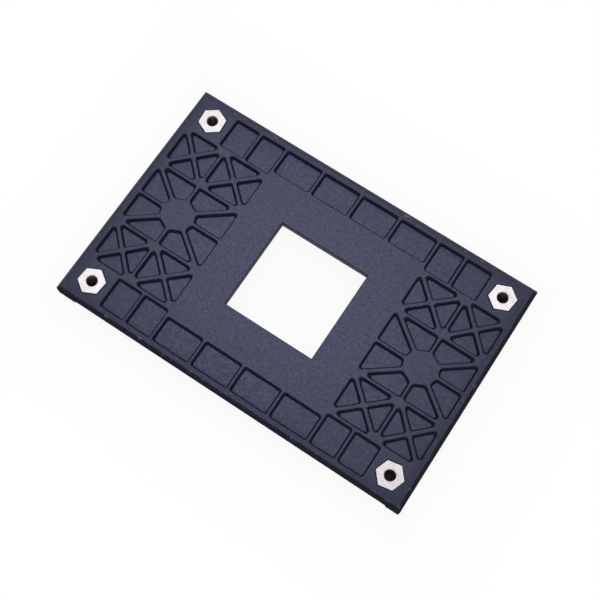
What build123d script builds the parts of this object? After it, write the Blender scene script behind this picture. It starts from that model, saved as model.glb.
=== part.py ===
from build123d import *
import math
import os

# Backplate of a processor cooler mount: a black moulded plate that sits behind
# the main board, with four threaded hex inserts moulded into its corners.
# Millimetres, +Z up. The ribbed rear face looks up. The plate stands on the four
# insert barrels, which pass through the board in use, so z = 0 is their lower ends.

# Bolt pattern and outline
BOLT_SPACING_X = 90.0
BOLT_SPACING_Y = 54.0
EDGE_MARGIN_X = 6.75     # insert axis to the plate's short edge
EDGE_MARGIN_Y = 6.5      # insert axis to the plate's long edge
PLAN_CORNER = 0.4        # radius of the plate's corners in plan
WINDOW = 26.2            # side of the square opening behind the socket

# Heights
BOARD_THICKNESS = 1.6    # circuit board that the barrels pass through
BARREL_ABOVE_BOARD = 1.8
SEAT_HEIGHT = 1.6        # bosses and corner feet, from the web down to the board
WEB_THICKNESS = 2.2
RIM_BEVEL_WIDTH = 0.9    # shallow bevel round the rear face
RIM_BEVEL_DROP = 0.45

# Relief of the rear face
BORDER = 2.4             # plate edge to the outermost pockets
INSERT_LAND = 5.4        # insert axis to the pockets beside it
RIB = 0.95               # straight ribs
DIAGONAL_RIB = 1.2
POCKET_DEPTH = 1.1
POCKET_DRAFT = 13.0      # degrees
POCKET_ROUND = 0.6       # acute corners of a pocket, which are rounded
POCKET_CHAMFER = 0.35    # its other corners, which are only broken
OUTER_CELL = 11.6        # length of the braced cells beside the short edges
INNER_CELL = 12.65       # length of the braced cells beside the middle field
SUN_HEIGHT = 18.5        # block with the spoked hub, across the plate
HUB_RADIUS = 5.0
SPOKE_DROP = 0.15        # block corner down to an outer spoke's middle, an inner spoke's lower side
MIDDLE_ROW_DEPTH = 7.1   # pockets along the long edges, between the braced ends
MIDDLE_POCKETS = 2       # on each side of the middle
END_POCKETS = 2          # at each end

# Threaded inserts, number 6-32 thread
HEX_ACROSS_FLATS = 6.5
HEX_HEIGHT = 2.4
HEX_PROUD = 0.2          # head above the rear face
BARREL_DIAMETER = 5.0
BARREL_CHAMFER = 0.28    # share of the barrel's wall
BORE_DIAMETER = 2.85     # bore at the tapping size of the thread
BORE_CHAMFER = 0.14      # share of the barrel's wall
SEAT_CLEARANCE = 0.02    # moulded plastic to metal, all round

# Feet on the board side
BOSS_WALL = 1.2          # plastic round the corners of the hex
FOOT_LEFT = 5.4          # corner feet along the plate, longer at its left end
FOOT_RIGHT = 3.9
FOOT_DEPTH = 4.4         # corner feet across the plate

plate_length = BOLT_SPACING_X + 2 * EDGE_MARGIN_X
plate_width = BOLT_SPACING_Y + 2 * EDGE_MARGIN_Y
seat_z = BOARD_THICKNESS + BARREL_ABOVE_BOARD
web_z = seat_z + SEAT_HEIGHT
face_z = web_z + WEB_THICKNESS
head_top_z = face_z + HEX_PROUD
head_base_z = head_top_z - HEX_HEIGHT

hex_corner_radius = HEX_ACROSS_FLATS / math.sqrt(3)
seat_corner_radius = (HEX_ACROSS_FLATS + 2 * SEAT_CLEARANCE) / math.sqrt(3)
boss_radius = seat_corner_radius + BOSS_WALL
barrel_wall = (BARREL_DIAMETER - BORE_DIAMETER) / 2

row_outer_y = plate_width / 2 - BORDER
cell_top_y = BOLT_SPACING_Y / 2 - INSERT_LAND
cell_height = cell_top_y - SUN_HEIGHT / 2 - RIB
end_row_depth = row_outer_y - cell_top_y - RIB
cluster_outer_x = plate_length / 2 - BORDER
spine_x = cluster_outer_x - OUTER_CELL - RIB / 2
cluster_inner_x = spine_x - RIB / 2 - INNER_CELL
row_end_x = BOLT_SPACING_X / 2 - INSERT_LAND

# Each insert: its corner of the bolt pattern and the turn of its hex about its axis
INSERTS = {
    "insert_back_left": ((-1, 1), 35.5),
    "insert_back_right": ((1, 1), 22.8),
    "insert_front_left": ((-1, -1), 25.0),
    "insert_front_right": ((1, -1), 10.1),
}


def bolt_point(corner):
    """Centre of the insert at one corner, given as a pair of signs."""
    return (corner[0] * BOLT_SPACING_X / 2, corner[1] * BOLT_SPACING_Y / 2)


def braced_cell(length):
    """Triangles that two ribs leave in a cell, from corner to corner."""
    slope = math.degrees(math.atan2(cell_height, length))
    with BuildSketch() as cell:
        Rectangle(length, cell_height)
        for way in (1, -1):
            Rectangle(3 * length, DIAGONAL_RIB, rotation=way * slope, mode=Mode.SUBTRACT)
    return cell.sketch


def half_sun():
    """Pockets on the upper side of the spoked block, with the hub's centre at the origin."""
    rise = SUN_HEIGHT / 2 - SPOKE_DROP
    inner_run = spine_x - cluster_inner_x
    spoke_lean = math.asin(DIAGONAL_RIB / 2 / math.hypot(rise, inner_run))
    outer_slant = math.degrees(math.atan2(rise, cluster_outer_x - spine_x))
    inner_slant = 180 - math.degrees(math.atan2(rise, inner_run) + spoke_lean)
    hub_corners = [PolarLocations(HUB_RADIUS, 1, angle) for angle in (0, outer_slant, 90, inner_slant, 180)]
    with BuildSketch() as block:
        with Locations((cluster_inner_x - spine_x, RIB / 2)):
            Rectangle(cluster_outer_x - cluster_inner_x, (SUN_HEIGHT - RIB) / 2, align=(Align.MIN, Align.MIN))
        Rectangle(RIB, 2 * SUN_HEIGHT, mode=Mode.SUBTRACT)
        for slant in (outer_slant, inner_slant):
            Rectangle(
                plate_length,
                DIAGONAL_RIB,
                rotation=slant,
                align=(Align.MIN, Align.CENTER),
                mode=Mode.SUBTRACT,
            )
        with BuildLine():
            Polyline(*[corner.locations[0].position for corner in hub_corners], close=True)
        make_face(mode=Mode.SUBTRACT)
    return block.sketch


def pocket_row(start_x, end_x, count, depth):
    """Pockets side by side along the long edge, with a rib between each two."""
    pitch = (end_x - start_x + RIB) / count
    with BuildSketch() as row:
        with Locations(((start_x + end_x) / 2, row_outer_y - depth / 2)):
            with GridLocations(pitch, depth, count, 1):
                Rectangle(pitch - RIB, depth)
    return row.sketch


sun = half_sun()
inner_cell = braced_cell(INNER_CELL)
outer_cell = braced_cell(OUTER_CELL)
middle_row = pocket_row(RIB / 2, cluster_inner_x - RIB, MIDDLE_POCKETS, MIDDLE_ROW_DEPTH)
end_row = pocket_row(cluster_inner_x, row_end_x, END_POCKETS, end_row_depth)

# Outlines of the pockets in one quarter of the rear face
with BuildSketch() as quarter:
    with Locations((spine_x, 0)):
        add(sun)
    with Locations((cluster_inner_x + INNER_CELL / 2, cell_top_y - cell_height / 2)):
        add(inner_cell)
    with Locations((cluster_outer_x - OUTER_CELL / 2, cell_top_y - cell_height / 2)):
        add(outer_cell)
    add(middle_row)
    add(end_row)


def turn_at(edge, walls):
    """Degrees by which a pocket's outline turns at the upright edge between two of its walls."""
    first, second = [wall for wall in walls if edge in wall.edges()]
    return first.normal_at().get_angle(second.normal_at())


def pocket_core(outline):
    """Solid that leaves one pocket: drafted from the rear face down, upright edges broken."""
    with BuildPart() as core:
        with BuildSketch(Plane.XY.offset(face_z)):
            add(outline)
        extrude(amount=-POCKET_DEPTH)
        draft(core.faces().filter_by(Axis.Z, reverse=True), Plane.XY.offset(face_z), -POCKET_DRAFT)
        walls = core.faces().filter_by(Axis.Z, reverse=True)
        upright = core.edges().filter_by(Plane.XY, reverse=True)
        acute = upright.filter_by(lambda edge: turn_at(edge, walls) > 100)
        blunt = upright.filter_by(lambda edge: turn_at(edge, walls) <= 100)
        if blunt:
            chamfer(blunt, POCKET_CHAMFER)
        if acute:
            fillet(acute, POCKET_ROUND)
    return core.part


cores = [pocket_core(outline) for outline in quarter.faces()]

# Cores of all pockets: one quarter, mirrored about both centre planes
with BuildPart() as relief:
    add(cores)
    mirror(about=Plane.XZ)
    mirror(about=Plane.YZ)

# Moulded plate: web with a bevelled rim, board-side bosses and feet, window,
# pockets of the rear face and the seats of the inserts
with BuildPart() as backplate:
    with BuildSketch(Plane.XY.offset(web_z)):
        Rectangle(plate_length, plate_width)
    extrude(amount=WEB_THICKNESS)
    rear_face = backplate.faces().sort_by(Axis.Z)[-1]
    chamfer(rear_face.edges(), length=RIM_BEVEL_WIDTH, length2=RIM_BEVEL_DROP, reference=rear_face)
    with BuildSketch(Plane.XY.offset(web_z)):
        RectangleRounded(plate_length, plate_width, PLAN_CORNER)
    extrude(amount=WEB_THICKNESS, mode=Mode.INTERSECT)

    with BuildSketch(Plane.XY.offset(seat_z)):
        RectangleRounded(plate_length, plate_width, PLAN_CORNER)
        with Locations(((FOOT_LEFT - FOOT_RIGHT) / 2, 0)):
            Rectangle(plate_length - FOOT_LEFT - FOOT_RIGHT, 2 * plate_width, mode=Mode.SUBTRACT)
        Rectangle(2 * plate_length, plate_width - 2 * FOOT_DEPTH, mode=Mode.SUBTRACT)
        with GridLocations(BOLT_SPACING_X, BOLT_SPACING_Y, 2, 2):
            Circle(boss_radius)
    extrude(amount=SEAT_HEIGHT)

    with BuildSketch(Plane.XY.offset(web_z)):
        Rectangle(WINDOW, WINDOW)
    extrude(amount=WEB_THICKNESS, mode=Mode.SUBTRACT)

    add(relief.part, mode=Mode.SUBTRACT)

    for corner, turn in INSERTS.values():
        with BuildSketch(Plane.XY.offset(head_base_z)):
            with Locations(bolt_point(corner)):
                RegularPolygon(seat_corner_radius, 6, rotation=turn)
        extrude(amount=HEX_HEIGHT, mode=Mode.SUBTRACT)
        with BuildSketch(Plane.XY.offset(seat_z)):
            with Locations(bolt_point(corner)):
                Circle(BARREL_DIAMETER / 2 + SEAT_CLEARANCE)
        extrude(amount=head_base_z - seat_z, mode=Mode.SUBTRACT)

backplate.part.label = "backplate"
os.makedirs("parts", exist_ok=True)
export_step(backplate.part, "parts/backplate.step")

# Inserts: hex head, round barrel, bore right through with its mouths chamfered
for name, (corner, turn) in INSERTS.items():
    centre = bolt_point(corner)
    with BuildPart() as insert:
        with BuildSketch(Plane.XY.offset(head_base_z)):
            with Locations(centre):
                RegularPolygon(hex_corner_radius, 6, rotation=turn)
        extrude(amount=HEX_HEIGHT)
        with BuildSketch(Plane.XY):
            with Locations(centre):
                Circle(BARREL_DIAMETER / 2)
        extrude(amount=head_base_z)
        chamfer(insert.faces().sort_by(Axis.Z)[0].edges(), BARREL_CHAMFER * barrel_wall)
        with BuildSketch(Plane.XY):
            with Locations(centre):
                Circle(BORE_DIAMETER / 2)
        extrude(amount=head_top_z, mode=Mode.SUBTRACT)
        mouths = insert.edges().filter_by(GeomType.CIRCLE)
        mouths = mouths.filter_by(lambda edge: abs(edge.radius - BORE_DIAMETER / 2) < 1e-4)
        chamfer(mouths, BORE_CHAMFER * barrel_wall)
    insert.part.label = name
    export_step(insert.part, f"parts/{name}.step")
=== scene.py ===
import math

import bmesh
import bpy
import numpy as np
from mathutils import Matrix, Vector


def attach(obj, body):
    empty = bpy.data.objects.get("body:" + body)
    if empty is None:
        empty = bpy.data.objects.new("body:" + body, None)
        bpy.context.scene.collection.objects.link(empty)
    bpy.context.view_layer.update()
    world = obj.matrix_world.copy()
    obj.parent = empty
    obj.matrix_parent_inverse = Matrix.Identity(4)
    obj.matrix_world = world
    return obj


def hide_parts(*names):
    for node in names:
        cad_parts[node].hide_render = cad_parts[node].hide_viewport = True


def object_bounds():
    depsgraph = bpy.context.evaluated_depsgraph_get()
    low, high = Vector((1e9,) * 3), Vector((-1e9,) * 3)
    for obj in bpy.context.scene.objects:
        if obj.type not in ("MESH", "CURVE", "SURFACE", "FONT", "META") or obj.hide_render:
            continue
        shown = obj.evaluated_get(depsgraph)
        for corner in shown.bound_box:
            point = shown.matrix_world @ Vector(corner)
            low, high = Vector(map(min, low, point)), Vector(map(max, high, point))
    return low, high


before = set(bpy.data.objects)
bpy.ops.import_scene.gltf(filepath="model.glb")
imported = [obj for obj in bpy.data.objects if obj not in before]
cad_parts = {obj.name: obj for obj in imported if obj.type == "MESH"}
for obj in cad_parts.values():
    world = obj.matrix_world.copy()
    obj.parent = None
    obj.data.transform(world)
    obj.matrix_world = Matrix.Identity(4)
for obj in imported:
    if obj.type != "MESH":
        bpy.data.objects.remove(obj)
cad_low, cad_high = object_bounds()
scene = bpy.context.scene

# Moulded plate
# The plate is black ABS, injection moulded in one shot with its ribs, bosses and feet.
# The tool was spark eroded, which leaves a fine even grain and slightly rounded edges.
MM = 0.001
PLATE_EDGE_RADIUS = 0.28 * MM
INNER_EDGE_SHARE = 0.5   # edges below the top face are rounded by this share of that radius
SHORT_EDGE = 0.05 * MM   # shorter edges are merged away, because rounding folds over on them
EDGE_STEPS = 3           # faces round each rounded edge
FLAT_TURN = math.radians(1)    # faces that turn less than this against each other are one
SHARP_TURN = math.radians(24)  # edges that turn more than this are rounded
TOP_FACE = 7.2
RIB_DROP = 0.3           # edges less than this below the top face count as its own
LEVEL = 0.99             # faces whose normal is at least this upright are level
WALL_SHARE = 0.45        # the most of a wall's height that one rounded edge may take
PLATE_BLACK = "0b0b0e"
PLATE_GREY = "131317"
PLATE_SHEEN = "c9cdff"
PLATE_WALL = "242435"
PLATE_WALL_PALE = "2c2c3d"
SCUFF = "6a6a78"
GRAIN = 0.42             # mm between the pits of the spark-eroded skin, drawn coarser to show
MOTTLE = 0.9             # mm across the faint clouds in the skin
FLOW = 14.0              # mm across the slow drift in tone from the flow of the melt
SKIN_SLOPE = 0.85        # a face whose normal is less upright than this was drawn, not stamped
WALL_SLOPE = 0.3         # a face whose normal is less upright than this is a wall
WINDOW_REACH = 14.0      # mm from the middle that holds the walls of the window
WALL_ROUGHNESS = 0.7
DRAG = 0.25              # mm between the drag lines on the walls, drawn coarser to show
SCUFF_LENGTH = 2.4       # mm along the pale scuffs on the rim
WORN_ABOVE = 6.0         # mm up from the sheet, above which the rim is scuffed
RIM_EDGE = 0.95          # mm from the outline to the edge where the bevel meets the top face
RIM_BAND = 0.35          # mm to each side of that edge that is scuffed
DULL_RIM = (2.2, 4.0)    # mm from the outline between which the rim's duller skin ends
RIM_DULLER = 0.06        # roughness that the rim has over the rest
TONE_RANGE = (0.7, 1.3)
SCUFF_RANGE = (0.58, 0.72)
CLOUD_SHARE = 0.6        # height of the clouds against that of the pits
PIT_RANGE = (0.55, 1.05)
SKIN_ROUGHNESS = (0.445, 0.295)
SKIN_BUMP = 0.75
SKIN_DEPTH = 0.02 * MM
SKIN_IOR = 1.7
SKIN_GLOSS = 1.0
DRAG_STRETCH = 0.15      # drag lines vary this much as fast along the draw as across it
DRAG_BUMP = 0.2
POCKET_GLOSS = 0.0
WINDOW_GLOSS = 0.5


def linear(hex_colour):
    """An sRGB hex value as linear red, green, blue and an alpha of one."""
    srgb = np.array([int(hex_colour[i:i + 2], 16) for i in (0, 2, 4)]) / 255
    rgb = np.where(srgb <= 0.04045, srgb / 12.92, ((srgb + 0.055) / 1.055) ** 2.4)
    return (*rgb, 1.0)


def node(tree, kind, inputs=None, **settings):
    """Adds one shader node: settings are its own fields, inputs its sockets by name or
    number, each a plain value or another node's output socket."""
    made = tree.nodes.new(kind)
    for field, value in settings.items():
        setattr(made, field, value)
    for socket, value in (inputs or {}).items():
        if isinstance(value, bpy.types.NodeSocket):
            tree.links.new(value, made.inputs[socket])
        else:
            made.inputs[socket].default_value = value
    return made


def new_material(name):
    """An empty node material with its surface shader and its place on the piece in millimetres."""
    material = bpy.data.materials.new(name)
    material.use_nodes = True
    tree = material.node_tree
    tree.nodes.clear()
    surface = node(tree, "ShaderNodeBsdfPrincipled")
    node(tree, "ShaderNodeOutputMaterial", {"Surface": surface.outputs["BSDF"]})
    place = node(tree, "ShaderNodeTexCoord").outputs["Object"]
    in_mm = node(tree, "ShaderNodeVectorMath", {0: place, "Scale": 1 / MM}, operation="SCALE")
    return material, tree, surface, in_mm.outputs[0]


def merged_shape(cad_node, radius):
    """A CAD node's loose triangles joined into whole faces, with each sharp edge marked with
    its share of the rounding radius: all of it on the top face, less below it, and less again
    where the wall beside the edge is too low for it."""
    shape = bmesh.new()
    shape.from_mesh(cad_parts[cad_node].data)
    bmesh.ops.remove_doubles(shape, verts=shape.verts, dist=SHORT_EDGE)
    bmesh.ops.dissolve_limit(
        shape, angle_limit=FLAT_TURN, verts=shape.verts, edges=shape.edges
    )
    rounding = shape.edges.layers.float.new("bevel_weight_edge")
    for edge in shape.edges:
        if edge.calc_face_angle(0) > SHARP_TURN:
            lowest = min(corner.co.z for corner in edge.verts)
            share = 1.0 if lowest > (TOP_FACE - RIB_DROP) * MM else INNER_EDGE_SHARE
            walls = [face for face in edge.link_faces if abs(face.normal.z) < LEVEL]
            heights = [np.ptp([corner.co.z for corner in wall.verts]) for wall in walls]
            room = min(heights, default=radius)
            edge[rounding] = min(share, WALL_SHARE * room / radius)
    return shape


def rounded_piece(shape, cad_node, name, radius):
    """A piece from a merged shape, with its marked edges rounded to the given radius."""
    mesh = bpy.data.meshes.new(name)
    shape.to_mesh(mesh)
    shape.free()
    for layer in ("custom_normal", "sharp_edge", "sharp_face"):
        if layer in mesh.attributes:
            mesh.attributes.remove(mesh.attributes[layer])
    piece = bpy.data.objects.new(name, mesh)
    scene.collection.objects.link(piece)
    edges = piece.modifiers.new("rounded_edges", "BEVEL")
    edges.width = radius
    edges.segments = EDGE_STEPS
    edges.limit_method = "WEIGHT"
    edges.use_clamp_overlap = False
    edges.loop_slide = False
    edges.harden_normals = True
    mesh.shade_smooth()
    seen = piece.evaluated_get(bpy.context.evaluated_depsgraph_get())
    piece.data = bpy.data.meshes.new_from_object(seen)
    piece.modifiers.clear()
    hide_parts(cad_node)
    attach(piece, "root")
    return piece


# Moulded black ABS: near black in itself, with a satin skin that turns grey where it
# mirrors the light above. The pits and clouds break that sheen up, and the rim is scuffed.
abs_plastic, tree, skin, place = new_material("moulded_black_abs")
pits = node(
    tree,
    "ShaderNodeTexNoise",
    {"Vector": place, "Scale": 1 / GRAIN, "Detail": 2.0, "Roughness": 0.6},
)
clouds = node(tree, "ShaderNodeTexNoise", {"Vector": place, "Scale": 1 / MOTTLE, "Detail": 2.0})
drift = node(tree, "ShaderNodeTexNoise", {"Vector": place, "Scale": 1 / FLOW, "Detail": 1.0})
tone = node(
    tree,
    "ShaderNodeMath",
    {0: clouds.outputs["Fac"], 1: drift.outputs["Fac"]},
    operation="ADD",
)
tone = node(
    tree,
    "ShaderNodeMapRange",
    {"Value": tone.outputs[0], "From Min": TONE_RANGE[0], "From Max": TONE_RANGE[1]},
)
colour = node(
    tree,
    "ShaderNodeMix",
    {"Factor": tone.outputs[0], "A": linear(PLATE_BLACK), "B": linear(PLATE_GREY)},
    data_type="RGBA",
)
folded = node(tree, "ShaderNodeVectorMath", {0: place}, operation="ABSOLUTE")
inset = node(
    tree,
    "ShaderNodeVectorMath",
    {0: (cad_high[0] / MM, cad_high[1] / MM, 0), 1: folded.outputs[0]},
    operation="SUBTRACT",
)
inset = node(tree, "ShaderNodeSeparateXYZ", {0: inset.outputs[0]})
inset = node(
    tree,
    "ShaderNodeMath",
    {0: inset.outputs["X"], 1: inset.outputs["Y"]},
    operation="MINIMUM",
)
on_rim = node(
    tree,
    "ShaderNodeMath",
    {0: inset.outputs[0], 1: RIM_EDGE, 2: RIM_BAND},
    operation="COMPARE",
)
scuffs = node(
    tree,
    "ShaderNodeTexNoise",
    {"Vector": place, "Scale": 1 / SCUFF_LENGTH, "Detail": 4.0, "Roughness": 0.7},
)
scuffs = node(
    tree,
    "ShaderNodeMapRange",
    {"Value": scuffs.outputs["Fac"], "From Min": SCUFF_RANGE[0], "From Max": SCUFF_RANGE[1]},
)
worn = node(
    tree,
    "ShaderNodeMath",
    {0: scuffs.outputs[0], 1: on_rim.outputs[0]},
    operation="MULTIPLY",
)
height = node(tree, "ShaderNodeSeparateXYZ", {0: place}).outputs["Z"]
upper = node(tree, "ShaderNodeMath", {0: height, 1: WORN_ABOVE}, operation="GREATER_THAN")
worn = node(tree, "ShaderNodeMath", {0: worn.outputs[0], 1: upper.outputs[0]}, operation="MULTIPLY")
colour = node(
    tree,
    "ShaderNodeMix",
    {"Factor": worn.outputs[0], "A": colour.outputs["Result"], "B": linear(SCUFF)},
    data_type="RGBA",
)
pitted = node(
    tree,
    "ShaderNodeMath",
    {0: clouds.outputs["Fac"], 1: CLOUD_SHARE, 2: pits.outputs["Fac"]},
    operation="MULTIPLY_ADD",
)
rough = node(
    tree,
    "ShaderNodeMapRange",
    {
        "Value": pitted.outputs[0],
        "From Min": PIT_RANGE[0],
        "From Max": PIT_RANGE[1],
        "To Min": SKIN_ROUGHNESS[0],
        "To Max": SKIN_ROUGHNESS[1],
    },
)
duller = node(
    tree,
    "ShaderNodeMapRange",
    {
        "Value": inset.outputs[0],
        "From Min": DULL_RIM[0],
        "From Max": DULL_RIM[1],
        "To Min": RIM_DULLER,
        "To Max": 0.0,
    },
    interpolation_type="SMOOTHSTEP",
)
rough = node(tree, "ShaderNodeMath", {0: rough.outputs[0], 1: duller.outputs[0]}, operation="ADD")
relief = node(
    tree,
    "ShaderNodeBump",
    {"Height": pitted.outputs[0], "Strength": SKIN_BUMP, "Distance": SKIN_DEPTH},
)
tree.links.new(colour.outputs["Result"], skin.inputs["Base Color"])
tree.links.new(rough.outputs[0], skin.inputs["Roughness"])
tree.links.new(relief.outputs[0], skin.inputs["Normal"])
skin.inputs["IOR"].default_value = SKIN_IOR
skin.inputs["Specular IOR Level"].default_value = SKIN_GLOSS
skin.inputs["Specular Tint"].default_value = linear(PLATE_SHEEN)


def drawn_abs(name, gloss):
    """ABS that was drawn out of the tool along a wall's height, which leaves fine drag lines.
    The gloss is the shader's specular level."""
    material, tree, skin, place = new_material(name)
    drag = node(
        tree,
        "ShaderNodeVectorMath",
        {0: place, 1: (1, 1, DRAG_STRETCH)},
        operation="MULTIPLY",
    )
    drag = node(
        tree,
        "ShaderNodeTexNoise",
        {"Vector": drag.outputs[0], "Scale": 1 / DRAG, "Detail": 2.0},
    )
    colour = node(
        tree,
        "ShaderNodeMix",
        {"Factor": drag.outputs["Fac"], "A": linear(PLATE_WALL), "B": linear(PLATE_WALL_PALE)},
        data_type="RGBA",
    )
    relief = node(
        tree,
        "ShaderNodeBump",
        {"Height": drag.outputs["Fac"], "Strength": DRAG_BUMP, "Distance": SKIN_DEPTH},
    )
    tree.links.new(colour.outputs["Result"], skin.inputs["Base Color"])
    tree.links.new(relief.outputs[0], skin.inputs["Normal"])
    skin.inputs["Roughness"].default_value = WALL_ROUGHNESS
    skin.inputs["Specular IOR Level"].default_value = gloss
    return material


# The pockets' walls and rounded edges are dull. The window's walls were shaped by a polished
# core, so they mirror some of what lies under the plate.
abs_wall = drawn_abs("drawn_black_abs", POCKET_GLOSS)
abs_window = drawn_abs("polished_black_abs", WINDOW_GLOSS)

shape = merged_shape("backplate", PLATE_EDGE_RADIUS)
plate = rounded_piece(shape, "backplate", "moulded_plate", PLATE_EDGE_RADIUS)
plate.data.materials.append(abs_plastic)
plate.data.materials.append(abs_wall)
plate.data.materials.append(abs_window)
faces = plate.data.polygons
normals = np.empty(len(faces) * 3)
faces.foreach_get("normal", normals)
centres = np.empty(len(faces) * 3)
faces.foreach_get("center", centres)
slope = np.abs(normals.reshape(-1, 3)[:, 2])
in_window = np.abs(centres.reshape(-1, 3)[:, :2]).max(axis=1) < WINDOW_REACH * MM
drawn = np.where(in_window, 2 * (slope < WALL_SLOPE), slope < SKIN_SLOPE)
faces.foreach_set("material_index", drawn.astype(np.int32))

# Ejector pin marks
# Round steel pins push the hot plate off the tool. Each leaves a low round land with a
# softened edge on the plate's underside, in the same plastic.
WEB_UNDERSIDE = 5.0
MARK_RADIUS = 1.75
MARK_HEIGHT = 0.07
MARK_EDGE = 0.12
MARK_SIDES = 40
MARK_BEND = 5            # rings round the softened edge
MARK_POLE = 0.02         # mm, radius of the small face that closes the middle
MARK_PLACES = np.array([(20.0, 23.5), (20.0, -23.5), (38.0, 9.0), (38.0, -9.0)])
MARK_PLACES = np.concatenate([MARK_PLACES, -MARK_PLACES])


def pin_land(centre):
    """A profile turned about the pin's axis: from the middle of the land out along its flat
    face, round a quarter circle at the edge, and up into the plate to a closed middle."""
    bend = np.linspace(0, np.pi / 2, MARK_BEND)
    reach = MARK_RADIUS - MARK_EDGE + MARK_EDGE * np.sin(bend)
    drop = MARK_HEIGHT * np.cos(bend)
    radius = np.concatenate([[MARK_POLE, MARK_RADIUS / 2], reach, [MARK_RADIUS, MARK_POLE]])
    face = np.full(2, MARK_HEIGHT)
    height = WEB_UNDERSIDE - np.concatenate([face, drop, -face])
    angle = np.linspace(0, 2 * np.pi, MARK_SIDES, endpoint=False)
    x = centre[0] + np.outer(radius, np.cos(angle))
    y = centre[1] + np.outer(radius, np.sin(angle))
    return np.stack([x, y, height[:, None] + 0 * x], axis=-1) * MM


lands = np.stack([pin_land(centre) for centre in MARK_PLACES])
index = np.arange(lands[..., 0].size).reshape(lands.shape[:3])
beside = np.roll(index, -1, axis=2)
quads = np.stack([index[:, :-1], beside[:, :-1], beside[:, 1:], index[:, 1:]], axis=-1)
quads = quads.reshape(-1, 4)
caps = np.concatenate([index[:, 0, ::-1], index[:, -1]])
land_mesh = bpy.data.meshes.new("ejector_marks")
land_mesh.from_pydata(lands.reshape(-1, 3), [], quads.tolist() + caps.tolist())
land_mesh.validate()
land_mesh.shade_smooth()
land_mesh.materials.append(abs_plastic)
marks = bpy.data.objects.new("ejector_marks", land_mesh)
scene.collection.objects.link(marks)
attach(marks, "root")

# Threaded inserts
# Each insert is turned from hex steel bar and nickel plated, then moulded into its corner
# of the plate. Its bore is tapped 6-32 after plating, so the thread is bare steel.
INSERT_EDGE_RADIUS = 0.06 * MM
BOLT_X = 45.0
BOLT_Y = 27.0
BORE_RADIUS = 1.425
THREAD_PITCH = 25.4 / 32
THREAD_DEPTH = 0.325
THREAD_FLANK = math.radians(30)
ROOT_HALF = 0.0625       # half of the groove's flat root, as a share of the pitch
RUN_OUT = 0.5            # pitches over which the groove fades at each end
ROWS_PER_PITCH = 12
ON_BORE = 0.002          # mm within which a corner counts as on the bore
WELD = 1e-6
NICKEL = "ece8ed"
NICKEL_DULL = "e4dfe5"
NICKEL_FLECK = "aca6ac"
CUT_STEEL = "d4c0c4"
CUT_STEEL_DARK = "b8a4a8"
RING = 0.22              # mm between turning marks, drawn coarser than the real feed to show
STAIN = 0.9              # mm across the faint stains in the plating
FLECK = 0.28             # mm between the dark flecks left by the bar's drawn skin
CUT = 0.3                # mm across the tap's streaks
BATCH_DULLER = 0.05      # roughness that the second batch of plating has over the first
STAIN_RANGE = (0.45, 0.75)
FLECK_RANGE = (0.68, 0.76)
DULL_RANGE = (0.3, 0.7)
NICKEL_ROUGHNESS = (0.18, 0.25)
NICKEL_METALLIC = 0.7
RING_SHARE = 0.6         # height of the turning marks against that of the stains
NICKEL_BUMP = 0.2
NICKEL_DEPTH = 0.004 * MM
CUT_ROUGHNESS = (0.3, 0.5)


def thread_wall(centre, angles, low, high):
    """The bore's wall on a grid of height by angle. Its radius is the bore's plus the depth
    of a 60 degree groove that climbs one pitch a turn. The groove fades out over the first
    and last half pitch, so that the wall meets the mouths of the bore."""
    rows = int((high - low) / THREAD_PITCH * ROWS_PER_PITCH)
    height = np.linspace(low, high, rows)[:, None] + 0 * angles
    turn = (height / THREAD_PITCH - angles / (2 * np.pi)) % 1
    flank = THREAD_DEPTH * math.tan(THREAD_FLANK) / THREAD_PITCH
    groove = np.clip((ROOT_HALF + flank - np.abs(turn - 0.5)) / flank, 0, 1)
    fade = np.clip(np.minimum(height - low, high - height) / (RUN_OUT * THREAD_PITCH), 0, 1)
    radius = BORE_RADIUS + THREAD_DEPTH * groove * fade
    x = centre[0] + radius * np.cos(angles)
    y = centre[1] + radius * np.sin(angles)
    return np.stack([x, y, height], axis=-1) * MM


def cut_thread(shape, centre):
    """Swaps the plain wall of an insert's bore for a threaded one with the same end rings."""
    corners = np.array([corner.co for corner in shape.verts]) / MM
    away = corners[:, :2] - centre
    ring = np.abs(np.hypot(*away.T) - BORE_RADIUS) < ON_BORE
    low, high = corners[ring, 2].min(), corners[ring, 2].max()
    lower = ring & (corners[:, 2] < (low + high) / 2)
    angles = np.sort(np.arctan2(away[lower, 1], away[lower, 0]))
    on_ring = set(np.flatnonzero(ring))
    wall = [face for face in shape.faces if all(corner.index in on_ring for corner in face.verts)]
    bmesh.ops.delete(shape, geom=wall, context="FACES_ONLY")
    points = thread_wall(centre, angles, low, high)
    rows, columns = points.shape[:2]
    index = np.arange(rows * columns).reshape(rows, columns)
    beside = np.roll(index, -1, axis=1)
    quads = np.stack([index[:-1], index[1:], beside[1:], beside[:-1]], axis=-1).reshape(-1, 4)
    tube = bpy.data.meshes.new("thread")
    tube.from_pydata(points.reshape(-1, 3), [], quads)
    tube.polygons.foreach_set("material_index", np.ones(len(quads), np.int32))
    shape.from_mesh(tube)
    bpy.data.meshes.remove(tube)
    bmesh.ops.remove_doubles(shape, verts=shape.verts, dist=WELD)
    bmesh.ops.recalc_face_normals(shape, faces=shape.faces)


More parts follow.
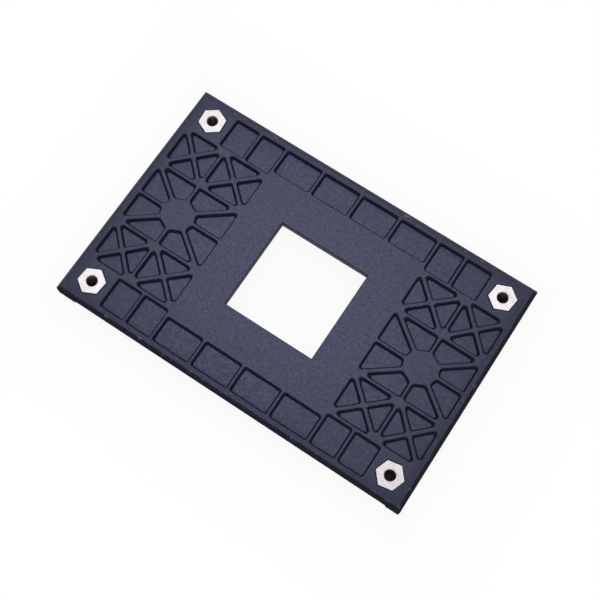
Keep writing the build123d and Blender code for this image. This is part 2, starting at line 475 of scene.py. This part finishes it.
# Satin nickel: pale, with faint stains and the rings of the turning tool. The plating is finely
# matte, so part of its light is scattered rather than mirrored. Two inserts on one diagonal are
# from a cleaner batch, and the other two are duller and flecked.
nickel, tree, metal, place = new_material("nickel_plated_steel")
folded = node(tree, "ShaderNodeVectorMath", {0: place}, operation="ABSOLUTE")
centred = node(
    tree,
    "ShaderNodeVectorMath",
    {0: folded.outputs[0], 1: (BOLT_X, BOLT_Y, 0)},
    operation="SUBTRACT",
)
flat = node(
    tree,
    "ShaderNodeVectorMath",
    {0: centred.outputs[0], 1: (1, 1, 0)},
    operation="MULTIPLY",
)
radius = node(tree, "ShaderNodeVectorMath", {0: flat.outputs[0]}, operation="LENGTH")
ring = node(
    tree,
    "ShaderNodeMath",
    {0: radius.outputs["Value"], 1: 2 * math.pi / RING},
    operation="MULTIPLY",
)
ring = node(tree, "ShaderNodeMath", {0: ring.outputs[0]}, operation="SINE")
stains = node(
    tree,
    "ShaderNodeTexNoise",
    {"Vector": place, "Scale": 1 / STAIN, "Detail": 4.0, "Roughness": 0.65},
)
dull = node(
    tree,
    "ShaderNodeMapRange",
    {"Value": stains.outputs["Fac"], "From Min": STAIN_RANGE[0], "From Max": STAIN_RANGE[1]},
)
colour = node(
    tree,
    "ShaderNodeMix",
    {"Factor": dull.outputs[0], "A": linear(NICKEL), "B": linear(NICKEL_DULL)},
    data_type="RGBA",
)
flecks = node(tree, "ShaderNodeTexNoise", {"Vector": place, "Scale": 1 / FLECK, "Detail": 2.0})
flecks = node(
    tree,
    "ShaderNodeMapRange",
    {"Value": flecks.outputs["Fac"], "From Min": FLECK_RANGE[0], "From Max": FLECK_RANGE[1]},
)
side = node(tree, "ShaderNodeSeparateXYZ", {0: place})
side = node(
    tree,
    "ShaderNodeMath",
    {0: side.outputs["X"], 1: side.outputs["Y"]},
    operation="MULTIPLY",
)
second_batch = node(tree, "ShaderNodeMath", {0: side.outputs[0], 1: 0.0}, operation="LESS_THAN")
flecks = node(
    tree,
    "ShaderNodeMath",
    {0: flecks.outputs[0], 1: second_batch.outputs[0]},
    operation="MULTIPLY",
)
colour = node(
    tree,
    "ShaderNodeMix",
    {"Factor": flecks.outputs[0], "A": colour.outputs["Result"], "B": linear(NICKEL_FLECK)},
    data_type="RGBA",
)
rough = node(
    tree,
    "ShaderNodeMapRange",
    {
        "Value": stains.outputs["Fac"],
        "From Min": DULL_RANGE[0],
        "From Max": DULL_RANGE[1],
        "To Min": NICKEL_ROUGHNESS[0],
        "To Max": NICKEL_ROUGHNESS[1],
    },
)
rough = node(
    tree,
    "ShaderNodeMath",
    {0: second_batch.outputs[0], 1: BATCH_DULLER, 2: rough.outputs[0]},
    operation="MULTIPLY_ADD",
)
height = node(
    tree,
    "ShaderNodeMath",
    {0: ring.outputs[0], 1: RING_SHARE, 2: stains.outputs["Fac"]},
    operation="MULTIPLY_ADD",
)
relief = node(
    tree,
    "ShaderNodeBump",
    {"Height": height.outputs[0], "Strength": NICKEL_BUMP, "Distance": NICKEL_DEPTH},
)
metal.inputs["Metallic"].default_value = NICKEL_METALLIC
tree.links.new(colour.outputs["Result"], metal.inputs["Base Color"])
tree.links.new(rough.outputs[0], metal.inputs["Roughness"])
tree.links.new(relief.outputs[0], metal.inputs["Normal"])

# Cut steel: the bare thread is greyer and browner than the plating, and streaked by the tap.
cut_steel, tree, metal, place = new_material("cut_steel")
streak = node(tree, "ShaderNodeTexNoise", {"Vector": place, "Scale": 1 / CUT, "Detail": 2.0})
tone = node(
    tree,
    "ShaderNodeMix",
    {"Factor": streak.outputs["Fac"], "A": linear(CUT_STEEL_DARK), "B": linear(CUT_STEEL)},
    data_type="RGBA",
)
rough = node(
    tree,
    "ShaderNodeMapRange",
    {"Value": streak.outputs["Fac"], "To Min": CUT_ROUGHNESS[0], "To Max": CUT_ROUGHNESS[1]},
)
metal.inputs["Metallic"].default_value = 1.0
tree.links.new(tone.outputs["Result"], metal.inputs["Base Color"])
tree.links.new(rough.outputs[0], metal.inputs["Roughness"])

for corner, sign_x, sign_y in (
    ("back_left", -1, 1),
    ("back_right", 1, 1),
    ("front_left", -1, -1),
    ("front_right", 1, -1),
):
    shape = merged_shape("insert_" + corner, INSERT_EDGE_RADIUS)
    cut_thread(shape, (sign_x * BOLT_X, sign_y * BOLT_Y))
    insert = rounded_piece(shape, "insert_" + corner, "hex_insert_" + corner, INSERT_EDGE_RADIUS)
    insert.data.materials.append(nickel)
    insert.data.materials.append(cut_steel)

# Floor, light and camera
# The part stands on its barrels on a white sheet, under a soft overhead light that leans
# to the back left and two broad fills that gloss doesn't show.
FLOOR_WHITE = "fbfbfb"
FLOOR_CREAM = "f9f9f9"
FLOOR_PAINTED_SHADE = "86747a"  # painted shade: the sheet inside each barrel is coloured dark in place of the shade that little light reaches
FLOOR_REACH = 3.0
FLOOR_SIDES = 96
FLOOR_ROUGHNESS = 0.9
FIBRE = 8.0              # mm across the faint clouds in the paper
FLOOR_GLOW = 0.91        # share of the sheet below the part that takes no shadow
SHADOW_REACH = 30.0      # mm past the outline over which that share grows to the whole
PAINTED_SHADE_REACH = 2.6       # mm round each bolt axis within which the sheet has the painted shade colour and no glow
CAMERA_AT = (47.71, -69.91, 270.91)
CAMERA_AIM = (2.254, -1.897, 7.2)
CAMERA_ROLL = -0.306     # degrees
CAMERA_LENS = 65.1
OVERHEAD = {"place": (-0.127, 0.186, 0.707), "width": 0.42, "depth": 0.32, "radiance": 1.47}
BROAD_FILL = {"place": (-0.35, 0.45, 1.4), "width": 1.2, "depth": 1.2, "radiance": 1.3}
FRONT_FILL = {"place": (0.35, -0.5, 0.9), "width": 1.0, "depth": 1.0, "radiance": 1.5}

ring = np.linspace(0, 2 * np.pi, FLOOR_SIDES + 1)[:-1]
rim = FLOOR_REACH * np.stack([np.cos(ring), np.sin(ring), 0 * ring], axis=-1)
sheet_mesh = bpy.data.meshes.new("white_sheet")
sheet_mesh.from_pydata(rim, [], [list(range(len(ring)))])
sheet = bpy.data.objects.new("white_sheet", sheet_mesh)
scene.collection.objects.link(sheet)
paper, tree, matte, place = new_material("white_paper")
fibre = node(tree, "ShaderNodeTexNoise", {"Vector": place, "Scale": 1 / FIBRE, "Detail": 2.0})
tone = node(
    tree,
    "ShaderNodeMix",
    {"Factor": fibre.outputs["Fac"], "A": linear(FLOOR_WHITE), "B": linear(FLOOR_CREAM)},
    data_type="RGBA",
)
matte.inputs["Roughness"].default_value = FLOOR_ROUGHNESS
matte.inputs["Specular IOR Level"].default_value = 0.0
folded = node(tree, "ShaderNodeVectorMath", {0: place}, operation="ABSOLUTE")
from_barrel = node(
    tree,
    "ShaderNodeVectorMath",
    {0: folded.outputs[0], 1: (BOLT_X, BOLT_Y, 0)},
    operation="DISTANCE",
)
# clear is one outside the disc of painted shade round each barrel and nought inside it
clear = node(
    tree,
    "ShaderNodeMath",
    {0: from_barrel.outputs["Value"], 1: PAINTED_SHADE_REACH},
    operation="GREATER_THAN",
)
# Painted shade: inside each barrel the sheet takes the dark painted shade colour instead of white.
tone = node(
    tree,
    "ShaderNodeMix",
    {"Factor": clear.outputs[0], "A": linear(FLOOR_PAINTED_SHADE), "B": tone.outputs["Result"]},
    data_type="RGBA",
)
tree.links.new(tone.outputs["Result"], matte.inputs["Base Color"])
ray = node(tree, "ShaderNodeLightPath")
seen = node(
    tree,
    "ShaderNodeMath",
    {0: ray.outputs["Is Camera Ray"], 1: ray.outputs["Is Glossy Ray"]},
    operation="MAXIMUM",
)
seen = node(
    tree,
    "ShaderNodeMath",
    {0: seen.outputs[0], 1: ray.outputs["Is Transmission Ray"]},
    operation="MAXIMUM",
)
seen = node(tree, "ShaderNodeMath", {0: seen.outputs[0], 1: clear.outputs[0]}, operation="MULTIPLY")
past = node(
    tree,
    "ShaderNodeVectorMath",
    {0: folded.outputs[0], 1: (cad_high[0] / MM, cad_high[1] / MM, 0)},
    operation="SUBTRACT",
)
past = node(tree, "ShaderNodeSeparateXYZ", {0: past.outputs[0]})
past = node(
    tree,
    "ShaderNodeMath",
    {0: past.outputs["X"], 1: past.outputs["Y"]},
    operation="MAXIMUM",
)
plain = node(
    tree,
    "ShaderNodeMapRange",
    {"Value": past.outputs[0], "From Max": SHADOW_REACH, "To Min": FLOOR_GLOW, "To Max": 1.0},
)
share = node(
    tree,
    "ShaderNodeMath",
    {0: seen.outputs[0], 1: plain.outputs[0]},
    operation="MULTIPLY",
)
white = node(tree, "ShaderNodeEmission", {"Color": linear("ffffff"), "Strength": 1.0})
both = node(
    tree,
    "ShaderNodeMixShader",
    {0: share.outputs[0], 1: matte.outputs[0], 2: white.outputs[0]},
)
tree.links.new(both.outputs[0], tree.get_output_node("ALL").inputs["Surface"])
sheet_mesh.materials.append(paper)


def softbox(name, place, width, depth, radiance, mirrored):
    """A soft light at a place, in metres, that faces the part with its width along the part's
    length. Its power comes from its radiance, which is what a mirror would show, and mirrored
    says whether gloss shows it."""
    lamp = bpy.data.lights.new(name, "AREA")
    lamp.shape = "RECTANGLE"
    lamp.size = width
    lamp.size_y = depth
    lamp.energy = math.pi * width * depth * radiance
    away = Vector(place).normalized()
    over = away.cross((1, 0, 0)).normalized()
    held = bpy.data.objects.new(name, lamp)
    held.location = place
    held.rotation_euler = Matrix((over.cross(away), over, away)).transposed().to_euler()
    held.visible_glossy = mirrored
    scene.collection.objects.link(held)


softbox("overhead_softbox", **OVERHEAD, mirrored=True)
softbox("broad_fill", **BROAD_FILL, mirrored=False)
softbox("front_fill", **FRONT_FILL, mirrored=False)

# The sky is grey, white at the horizon, with a dark flag at the front and one at the right.
SKY = 0.25
HORIZON = (0.14, 0.3)    # upward part of the direction between which white turns to grey
FLAG_SPREAD = (0.7, 0.92)  # cosine of the angle to a flag's middle, at its soft edge and inside
FLAG_SHADE = 0.15        # share of the sky's light that a flag lets through
FLAGS = ((-0.17, -0.61, 0.77), (0.66, 0.25, 0.71))
world = bpy.data.worlds.new("studio")
scene.world = world
world.use_nodes = True
tree = world.node_tree
tree.nodes.clear()
sky = node(tree, "ShaderNodeTexCoord").outputs["Generated"]
up = node(tree, "ShaderNodeSeparateXYZ", {0: sky}).outputs["Z"]
level = node(
    tree,
    "ShaderNodeMapRange",
    {
        "Value": up,
        "From Min": HORIZON[0],
        "From Max": HORIZON[1],
        "To Min": 1.0,
        "To Max": SKY,
    },
)
for flag in FLAGS:
    facing = node(tree, "ShaderNodeVectorMath", {0: sky, 1: flag}, operation="DOT_PRODUCT")
    unshaded = node(
        tree,
        "ShaderNodeMapRange",
        {
            "Value": facing.outputs["Value"],
            "From Min": FLAG_SPREAD[0],
            "From Max": FLAG_SPREAD[1],
            "To Min": 1.0,
            "To Max": FLAG_SHADE,
        },
        interpolation_type="SMOOTHSTEP",
    )
    level = node(
        tree,
        "ShaderNodeMath",
        {0: level.outputs[0], 1: unshaded.outputs[0]},
        operation="MULTIPLY",
    )
glow = node(tree, "ShaderNodeBackground", {"Color": linear("ffffff"), "Strength": level.outputs[0]})
node(tree, "ShaderNodeOutputWorld", {"Surface": glow.outputs[0]})

camera_data = bpy.data.cameras.new("camera")
camera_data.sensor_width = 36
camera_data.lens = CAMERA_LENS
camera_data.clip_start = 0.01
camera = bpy.data.objects.new("camera", camera_data)
stand = Vector(CAMERA_AT) * MM
turn = (stand - Vector(CAMERA_AIM) * MM).to_track_quat("Z", "Y").to_matrix().to_4x4()
roll = Matrix.Rotation(math.radians(CAMERA_ROLL), 4, "Z")
camera.matrix_world = Matrix.Translation(stand) @ turn @ roll
scene.collection.objects.link(camera)
scene.camera = camera

scene.view_settings.view_transform = "Standard"
